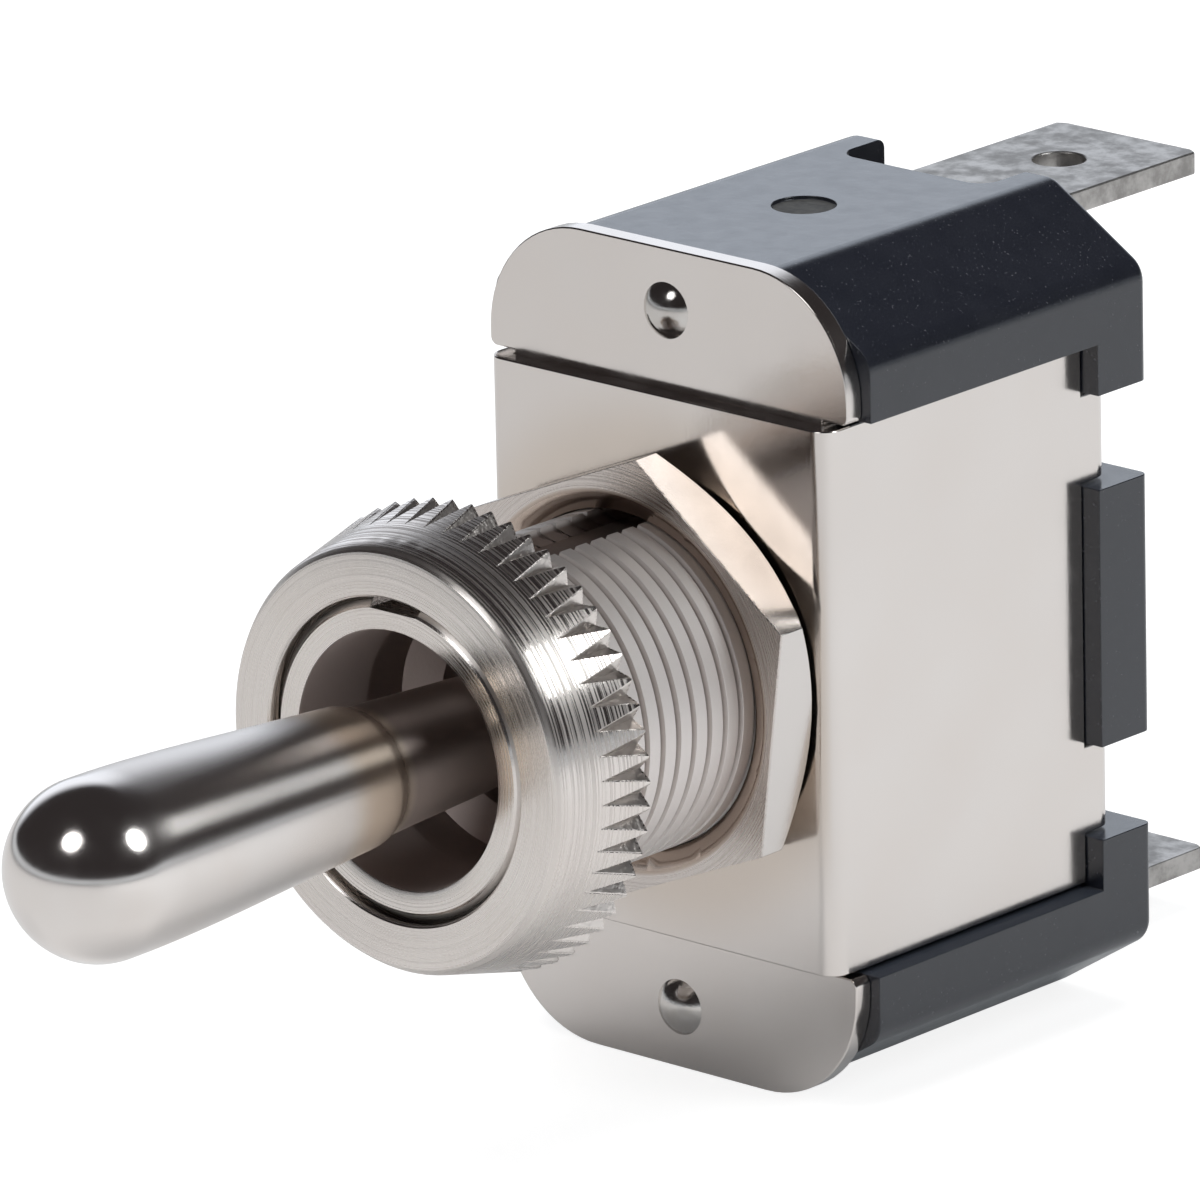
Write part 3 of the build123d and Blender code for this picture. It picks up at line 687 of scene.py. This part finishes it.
# %% Tinned terminals
TIN_DULL = (0.32, 0.305, 0.29, 1)
TIN_PALE = (0.49, 0.47, 0.45, 1)
TIN_ROUGHNESS = (0.48, 0.34)


def terminal_tin():
    material, tree, shader = start_finish("terminal_tin", Metallic=1.0)
    place = piece_space(tree)
    flakes = cloud(tree, place, 0.9 * MM, detail=5.0, roughness=0.65)
    base = blend_colours(tree, ramp(tree, flakes, 0.35, 0.65), TIN_DULL, TIN_PALE)
    tree.links.new(base, shader.inputs["Base Color"])
    tree.links.new(spread(tree, flakes, *TIN_ROUGHNESS), shader.inputs["Roughness"])
    raise_marks(tree, shader, cloud(tree, place, 0.15 * MM), 0.006 * MM)
    return material


finishes["terminal_tin"] = terminal_tin()
print("terminal tin nodes:", len(finishes["terminal_tin"].node_tree.nodes))

# %% [markdown]
# The other finishes are simpler, and one helper makes them all: two colours in patches, a
# roughness that follows the same patches, and a fine grain. The two rivets get it with a shine
# of their own. The pieces inside the case are hidden, but an exploded view shows them, so each
# gets its own metal or plastic too.

# %% Rivets and inner pieces
OPAQUE = (1,)
INNER_METAL = {"darker": 0.80, "patch": 0.8 * MM, "swing": 0.06, "grain": (0.08 * MM, 0.002 * MM)}
INNER_DULL = {"darker": 0.75, "patch": 0.6 * MM, "swing": 0.05, "grain": (0.07 * MM, 0.004 * MM)}


def plain_finish(name, metallic, colours, patch, roughness, grain):
    """A patchy finish; grain is its size and its depth."""
    material, tree, shader = start_finish(name, Metallic=metallic)
    place = piece_space(tree)
    patches = cloud(tree, place, patch)
    tree.links.new(blend_colours(tree, patches, *colours), shader.inputs["Base Color"])
    tree.links.new(spread(tree, patches, *roughness), shader.inputs["Roughness"])
    raise_marks(tree, shader, cloud(tree, place, grain[0]), grain[1])
    return material


def inner_finish(name, metallic, kind, colour, roughness):
    """The finish of a piece inside the case, from its brighter colour and middle roughness."""
    darker = tuple(kind["darker"] * part for part in colour)
    around_middle = (roughness - kind["swing"], roughness + kind["swing"])
    colours = (darker + OPAQUE, colour + OPAQUE)
    return plain_finish(name, metallic, colours, kind["patch"], around_middle, kind["grain"])


RIVET_COLOURS = ((0.50, 0.46, 0.42, 1), (0.66, 0.64, 0.62, 1))
finishes["rivet_metal"] = plain_finish(
    "rivet_metal", 1.0, RIVET_COLOURS, 0.5 * MM, (0.10, 0.20), (0.10 * MM, 0.004 * MM))
for name, colour, roughness in (
    ("inner_steel", (0.56, 0.55, 0.54), 0.28), ("inner_brass", (0.66, 0.50, 0.26), 0.32),
    ("inner_copper", (0.72, 0.43, 0.30), 0.34), ("contact_silver", (0.80, 0.79, 0.76), 0.22),
):
    finishes[name] = inner_finish(name, 1.0, INNER_METAL, colour, roughness)
for name, colour, roughness in (
    ("plunger_nylon", (0.78, 0.75, 0.66), 0.45), ("insulating_sheet", (0.10, 0.055, 0.035), 0.55),
):
    finishes[name] = inner_finish(name, 0.0, INNER_DULL, colour, roughness)
print("finishes:", len(finishes))

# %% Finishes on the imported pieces
for node, piece in frame["nodes"].items():
    piece.data.materials.clear()
    piece.data.materials.append(finishes[slot_of_node[node]])
print("packed pieces dressed:", len(frame["nodes"]))

# %% [markdown]
# Small inner pieces are good enough as they come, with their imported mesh. The bushing, the face
# nut and the lever are made new, and sheet and moulded pieces are copied and softened. Each new
# piece then stands for its packed one: it has the same finish, it moves with the same body, and
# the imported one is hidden.

# %% Helpers for new pieces
WELD = 0.0002 * MM


def shown_object(name, mesh, crease):
    """An object that is shaded smooth, but for edges sharper than the crease, in degrees."""
    mesh.polygons.foreach_set("use_smooth", [True] * len(mesh.polygons))
    mesh.set_sharp_from_angle(angle=radians(crease))
    piece = bpy.data.objects.new(name, mesh)
    bpy.context.scene.collection.objects.link(piece)
    return piece


def stand_for(piece, node):
    """Dress a piece in its node's finish, carry it on the node's body and hide the node."""
    piece.data.materials.clear()
    piece.data.materials.append(finishes[slot_of_node[node]])
    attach(piece, body_of_node[node])
    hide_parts(node)
    return piece


print("helpers for new pieces ready")

# %% [markdown]
# A turned piece is a grid of points. Each column is the piece's section at one angle round the
# axis, and neighbouring columns are joined by rows of four-sided faces. Blender's screw and spin
# tools turn one section, the same at every angle; columns of their own let the thread climb
# and the notches cut in.

# %% Turned pieces from columns of points
def around(radius, angle, y):
    """A point at an angle round the bushing axis, counted from +X towards +Z."""
    return (radius * cos(angle), y, radius * sin(angle))


def skin(name, columns, crease=30, closed_section=True):
    """Join columns of points to a closed surface, round the axis and along the section."""
    bm = bmesh.new()
    made = [[bm.verts.new(point) for point in column] for column in columns]
    first_row = 0 if closed_section else 1
    for left, right in zip(made, made[1:] + made[:1]):
        for row in range(first_row, len(left)):
            bm.faces.new((left[row - 1], right[row - 1], right[row], left[row]))
    bmesh.ops.remove_doubles(bm, verts=bm.verts, dist=WELD)
    bmesh.ops.dissolve_degenerate(bm, edges=bm.edges, dist=WELD)
    bmesh.ops.recalc_face_normals(bm, faces=bm.faces)
    mesh = bpy.data.meshes.new(name)
    bm.to_mesh(mesh)
    bm.free()
    return shown_object(name, mesh, crease)


print("columns can be joined")

# %% [markdown]
# The bushing carries a rolled 15/32-32 thread, 32 turns to the inch. Here it is a true helix:
# every column is the same row of crests and roots, slid along the axis by one pitch per turn,
# and held between the bushing's two ends. The keyway along the top cuts through the thread.
# Inside come the mouth, a narrower ring and the seat of the lever's ball, and at the rear the
# rim is staked over the frame.

# %% Bushing sizes
bushing_low, bushing_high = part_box("bushing")
thread_r = bushing_high.x
thread_front = bushing_low.y
thread_rear = -0.15 * MM
thread_pitch = 25.4 / 32 * MM
thread_depth = 0.31 * MM
end_chamfer = 0.65 * MM
keyway_half = 1.05 * MM
keyway_floor = thread_r - 0.75 * MM
mouth_r = 4.5025 * MM
mouth_rear = thread_front + 5.2 * MM
mouth_edge = 0.18 * MM
mouth_soft = 0.3 * mouth_edge
ring_r = 3.4 * MM
ring_front = mouth_rear + 0.8 * MM
pin_y = -4.8 * MM
seat_r = 4.6 * MM
stake_r = 5.2 * MM
stake_lip = 0.5 * MM
stake_front = 0.7 * MM
stake_rear = 1.2 * MM
print("thread turns:", round((thread_rear - thread_front) / thread_pitch, 1))

# %% Thread
def thread_section():
    """One pitch of the thread as (share of the pitch, share of the depth below the crest)."""
    crest, root, round_off = 0.68, 0.04, 0.02
    flank = (1 - crest - root) / 2
    return [
        (0, 0.03), (round_off, 0), (crest - round_off, 0), (crest, 0.03),
        (crest + flank * 0.5, 0.5), (crest + flank, 0.96),
        (crest + flank + root / 2, 1), (crest + flank + root, 0.96), (1 - flank * 0.5, 0.5),
    ]


def thread_rows(turn):
    """The outer line of the bushing at a share of a turn: (radius, y) from front to rear."""
    rows = []
    pitches = ceil((thread_rear - thread_front) / thread_pitch) + 1
    for count in range(-1, pitches):
        for along, sunk in thread_section():
            y = thread_front + thread_pitch * (count + along + turn)
            y = min(max(y, thread_front), thread_rear)
            to_end = min(y - thread_front, thread_rear - y)
            held = thread_r - end_chamfer + min(to_end, end_chamfer)
            rows.append((min(thread_r - thread_depth * sunk, held), y))
    return rows


print("points along one line of the thread:", len(thread_rows(0)))

# %% Bushing
BUSHING_STEPS = 120
KEYWAY_SHARES = (1, 0.5, 0, -0.5, -1)


def bushing_inside():
    """The line from the rear of the thread, round the staked rim and out through the bore."""
    return [
        (stake_r, thread_rear), (stake_r, stake_front), (stake_r + stake_lip, stake_front),
        (stake_r, stake_rear), (seat_r, stake_rear), (seat_r, pin_y), (ring_r, pin_y),
        (ring_r, ring_front), (mouth_r, mouth_rear), (mouth_r, thread_front + mouth_edge),
        (mouth_r + mouth_soft, thread_front + mouth_soft), (mouth_r + mouth_edge, thread_front),
    ]


def bushing_column(angle, turn, floor_x=None):
    """The section at an angle; in the keyway, floor_x is how far across its floor it lies."""
    outer = []
    for radius, y in thread_rows(turn):
        if floor_x is None:
            outer.append(around(radius, angle, y))
        else:
            outer.append((floor_x, y, min(keyway_floor, sqrt(radius**2 - floor_x**2))))
    return outer + [around(radius, angle, y) for radius, y in bushing_inside()]


def make_bushing():
    wall_angle = atan2(keyway_floor, keyway_half)
    past_wall = pi - wall_angle
    columns = []
    for step in range(BUSHING_STEPS + 1):
        angle = past_wall + (2 * pi - (past_wall - wall_angle)) * step / BUSHING_STEPS
        columns.append(bushing_column(angle, (angle - past_wall) / (2 * pi)))
    for share in KEYWAY_SHARES:
        x = keyway_half * share
        angle = atan2(keyway_floor, x)
        columns.append(bushing_column(angle, 1 - (past_wall - angle) / (2 * pi), x))
    return stand_for(skin("threaded_bushing", columns), "bushing")


bushing = make_bushing()
print("bushing faces:", len(bushing.data.polygons))

# %% [markdown]
# The face nut's skill is in its notches: a broach runs in from the rear and leaves V cuts that
# end in points where they run out on the cone. Cutting them out with 58 wedges would leave a
# ragged mesh. Instead, in each column of points the cone is followed until it meets the cut,
# then the cut is followed to the rear, so the crease between them is a true line of the mesh
# and stays crisp.

# %% Face nut sizes
nut_low, nut_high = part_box("knurled_nut")
nut_front = nut_low.y
nut_rear = nut_high.y
nut_rear_r = nut_high.x
nut_front_r = 7.4 * MM
nut_bore_r = thread_r + 0.05 * MM
nut_bore_edge = 0.25 * MM
nut_bore_front = 0.3 * MM
nut_mouth_r = 5.7 * MM
nut_mouth_edge = 0.08 * MM
nut_lip = 0.25 * MM
nut_edge = 0.3 * MM
notch_count = 58
notch_depth = 0.45 * MM
notch_half = 0.41 * MM
print("notch pitch at the rear in mm:", round(2 * pi * nut_rear_r / notch_count / MM, 2))

# %% Section of the face nut
FRONT_EDGE = ((-1, 0), (-0.55, 0.11), (-0.12, 0.45))
CONE_SHARES = (0, 0.25, 0.5, 0.75, 1)
NOTCH_SHARES = (0.5, 1)


def cut_radius(offset):
    """Radius at which a ray, turned by an offset from a notch's root, leaves the notch."""
    root = nut_rear_r - notch_depth
    spread_out = notch_half / notch_depth
    slope = tan(abs(offset))
    up = root * slope / (spread_out - slope)
    return min(hypot(root + up, spread_out * up), nut_rear_r)


def nut_outside(cut_r):
    """The line over the front edge, along the cone to the cut, and along the cut to the rear."""
    cone_front = nut_front + nut_edge
    cone_r = nut_front_r + nut_edge * 0.25
    meets = cone_front + (nut_rear - cone_front) * (cut_r - cone_r) / (nut_rear_r - cone_r)
    line = [(nut_front_r + nut_edge * out, nut_front + nut_edge * back) for out, back in FRONT_EDGE]
    for share in CONE_SHARES:
        line.append((cone_r + (cut_r - cone_r) * share, cone_front + (meets - cone_front) * share))
    return line + [(cut_r, meets + (nut_rear - meets) * share) for share in NOTCH_SHARES]


def nut_inside():
    """The line from the rear through the bore and out of the narrower mouth."""
    return [
        (nut_bore_r + nut_bore_edge, nut_rear), (nut_bore_r, nut_rear - nut_bore_edge),
        (nut_bore_r, nut_front + nut_lip + nut_bore_front), (nut_mouth_r, nut_front + nut_lip),
        (nut_mouth_r, nut_front + nut_mouth_edge), (nut_mouth_r + nut_mouth_edge, nut_front),
    ]


print("points in a section:", len(nut_outside(cut_radius(0)) + nut_inside()))

# %% Face nut
NOTCH_OFFSETS = (-0.94, -0.72, -0.48, -0.24, 0, 0.24, 0.48, 0.72, 0.94)


def make_face_nut():
    pitch = 2 * pi / notch_count
    columns = []
    for notch in range(notch_count):
        for share in NOTCH_OFFSETS:
            offset = pitch / 2 * share
            angle = pitch * (notch + 0.5) + offset
            section = nut_outside(cut_radius(offset)) + nut_inside()
            columns.append([around(radius, angle, y) for radius, y in section])
    return stand_for(skin("notched_face_nut", columns, crease=24), "knurled_nut")


face_nut = make_face_nut()
print("face nut faces:", len(face_nut.data.polygons))

# %% [markdown]
# The bat lever is one turned bar: a round nose, a faint waist, a soft shoulder where it drops
# to the neck, then the ball and the barrel inside the bushing. Its mirror finish shows every
# kink, so its section is a chain of smooth curves, taken in fine steps, that meet with the
# same slope.

# %% Bat lever sizes
lever_low, lever_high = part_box("bat_lever")
lever_rear = lever_high.y
nose_r = lever_high.x
nose_y = lever_low.y + nose_r
bat_waist = (2.75 * MM, lever_low.y + 11.5 * MM)
bat_shoulder = (2.5 * MM, lever_low.y + 15.2 * MM)
neck_front = (2.29 * MM, bat_shoulder[1] + 0.75 * MM)
neck_rear = (1.93 * MM, thread_front + 5.0 * MM)
neck_slope = -0.06
ball_r = 2.95 * MM
barrel_r = 2.2 * MM
barrel_edge = 0.15 * MM
barrel_bore_r = 1.5 * MM
barrel_bore_y = pin_y + 1.6 * MM
print("lever length in mm:", round((lever_rear - lever_low.y) / MM, 2))

# %% Section of the bat lever
NOSE_STEPS = 24
WAIST_STEPS = 16
NECK_STEPS = 8
BALL_STEPS = 16


def eased(start, end, share, start_slope, end_slope):
    """A point between two on a smooth curve with a given slope of radius along y at each end."""
    length = end[1] - start[1]
    t2, t3 = share**2, share**3
    radius = (2 * t3 - 3 * t2 + 1) * start[0] + (3 * t2 - 2 * t3) * end[0]
    radius += length * ((t3 - 2 * t2 + share) * start_slope + (t3 - t2) * end_slope)
    return (radius, start[1] + length * share)


def curve(start, end, steps, start_slope, end_slope):
    """The points of a smooth curve after its start."""
    return [eased(start, end, step / steps, start_slope, end_slope) for step in range(1, steps + 1)]


def lever_section():
    turns = [pi / 2 * step / NOSE_STEPS for step in range(NOSE_STEPS + 1)]
    line = [(nose_r * sin(turn), nose_y - nose_r * cos(turn)) for turn in turns]
    fall = (bat_shoulder[0] - bat_waist[0]) / (bat_shoulder[1] - bat_waist[1])
    line += curve((nose_r, nose_y), bat_waist, WAIST_STEPS, 0, fall)
    line += curve(bat_waist, bat_shoulder, NECK_STEPS, fall, fall)
    line += curve(bat_shoulder, neck_front, NECK_STEPS, fall, neck_slope)
    line += curve(neck_front, neck_rear, NECK_STEPS, neck_slope, neck_slope)
    start = atan2(sqrt(ball_r**2 - neck_rear[0]**2), neck_rear[0])
    end = -atan2(sqrt(ball_r**2 - barrel_r**2), barrel_r)
    turns = [start + (end - start) * step / BALL_STEPS for step in range(BALL_STEPS + 1)]
    line += [(ball_r * cos(turn), pin_y - ball_r * sin(turn)) for turn in turns]
    line += [(barrel_r, lever_rear - barrel_edge), (barrel_r - barrel_edge, lever_rear)]
    line += [(barrel_bore_r, lever_rear), (barrel_bore_r, barrel_bore_y), (0, barrel_bore_y)]
    return line


print("points in the lever's section:", len(lever_section()))

# %% Bat lever
LEVER_STEPS = 128


def make_lever():
    angles = [2 * pi * step / LEVER_STEPS for step in range(LEVER_STEPS)]
    columns = [[around(r, angle, y) for r, y in lever_section()] for angle in angles]
    return stand_for(skin("bat_lever_turned", columns, closed_section=False), "bat_lever")


lever = make_lever()
print("lever faces:", len(lever.data.polygons))

# %% [markdown]
# The hex nut, the folded frame, the cover plate, the case, the terminals and the card keep the
# packed form, but no real edge is knife sharp, and a rounded one catches a line of light. The
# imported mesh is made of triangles, so flat faces are made whole first. A bevel modifier then
# rounds the sharp edges: wider on the moulded case, narrow on the pressed sheet.

# %% Rounded copies
FLAT_WITHIN = radians(0.6)
SHARPER_THAN = 35
BEVEL_SEGMENTS = 2
LARGE_FACES_WIN = 100


def round_edges(piece, width):
    bevel = piece.modifiers.new("rounded_edges", "BEVEL")
    bevel.width = width
    bevel.segments = BEVEL_SEGMENTS
    bevel.limit_method = "ANGLE"
    bevel.angle_limit = radians(SHARPER_THAN)
    even = piece.modifiers.new("flat_faces_stay_flat", "WEIGHTED_NORMAL")
    even.keep_sharp = True
    even.weight = LARGE_FACES_WIN
    return piece


def rounded_copy(name, node, width):
    """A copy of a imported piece, with its flat faces made whole and its edges rounded."""
    bm = bmesh.new()
    bm.from_mesh(frame["nodes"][node].data)
    bmesh.ops.remove_doubles(bm, verts=bm.verts, dist=WELD)
    bmesh.ops.dissolve_limit(bm, angle_limit=FLAT_WITHIN, verts=bm.verts, edges=bm.edges)
    mesh = bpy.data.meshes.new(name)
    bm.to_mesh(mesh)
    bm.free()
    return stand_for(round_edges(shown_object(name, mesh, SHARPER_THAN), width), node)


print("edges sharper than", SHARPER_THAN, "degrees will be rounded")

# %% Sheet and moulded pieces
rounded_copy("hex_back_nut", "hex_nut", 0.06 * MM)
rounded_copy("folded_frame", "frame", 0.05 * MM)
rounded_copy("eared_cover_plate", "cover_plate", 0.05 * MM)
rounded_copy("moulded_housing", "housing", 0.10 * MM)
rounded_copy("terminal_blade_upper", "terminal_upper", 0.06 * MM)
rounded_copy("terminal_blade_lower", "terminal_lower", 0.06 * MM)
rounded_copy("insulating_card", "insulator", 0.02 * MM)
